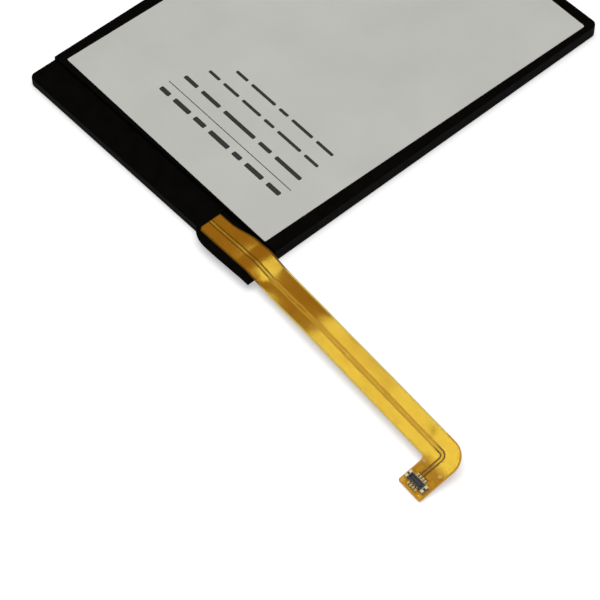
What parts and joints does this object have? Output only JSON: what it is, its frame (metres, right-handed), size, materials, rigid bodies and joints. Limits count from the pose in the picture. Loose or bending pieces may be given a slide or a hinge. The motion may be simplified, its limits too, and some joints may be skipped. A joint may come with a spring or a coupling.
{
  "type": "mobile phone battery",
  "caption": "Flat rectangular phone battery in black film with a light grey label, and a folded flexible circuit at one corner that ends in a small connector.",
  "frame": {"origin": "centre of the flat back face of the pack, the face glued into the phone", "axes": "+Z out of the label face, +Y towards the end with the protection board, -X towards the side the flexible circuit leaves over; +X is the longest extent, counting the flexible circuit"},
  "size_m": [0.1139, 0.0955, 0.0035],
  "materials": {
    "pouch_foil": "satin aluminium laminate foil of the pouch",
    "black_film": "matt black polyester film with a fine grain",
    "aluminium_tab": "plain rolled aluminium strip",
    "nickel_strip": "plain rolled nickel strip",
    "tab_sealant": "milky sealing film",
    "foam_pad": "soft black foam",
    "board_laminate": "dark green solder mask over glass laminate",
    "board_sheet": "black insulating sheet",
    "chip_plastic": "moulded chip body",
    "chip_ceramic": "fired ceramic chip",
    "label_paper": "smooth light grey film label",
    "amber_film": "glossy clear amber film",
    "flex_copper": "bare rolled copper seen through amber film",
    "solder": "dull solder",
    "gold_plate": "thin gold plating",
    "stiffener_steel": "thin rolled steel plate",
    "connector_plastic": "black moulded plastic",
    "contact_silver": "bright plated contact metal"
  },
  "bodies": {
    "root": {"board_capacitors": "chip_ceramic", "board_cover_sheet": "board_sheet", "board_resistors": "chip_ceramic", "cell_wrap": "black_film", "connector_housing": "connector_plastic", "connector_pads": "gold_plate", "connector_power_contacts": "contact_silver", "connector_signal_contacts": "gold_plate", "connector_stiffener": "stiffener_steel", "end_wrap": "black_film", "flex_backing_tab": "black_film", "flex_base_film": "amber_film", "flex_cover_film": "amber_film", "flex_negative_copper": "flex_copper", "flex_positive_copper": "flex_copper", "flex_root_solder": "solder", "flex_sense_trace": "flex_copper", "flex_test_pads": "gold_plate", "label": "label_paper", "mosfet_a": "chip_plastic", "mosfet_b": "chip_plastic", "negative_lead": "nickel_strip", "negative_tab": "nickel_strip", "negative_tab_film": "tab_sealant", "positive_lead": "nickel_strip", "positive_tab": "aluminium_tab", "positive_tab_film": "tab_sealant", "pouch_cell": "pouch_foil", "protection_board": "board_laminate", "protection_ic": "chip_plastic", "terrace_pad": "foam_pad", "thermal_fuse": "chip_plastic", "thermistor": "chip_ceramic"}
  },
  "joints": []
}
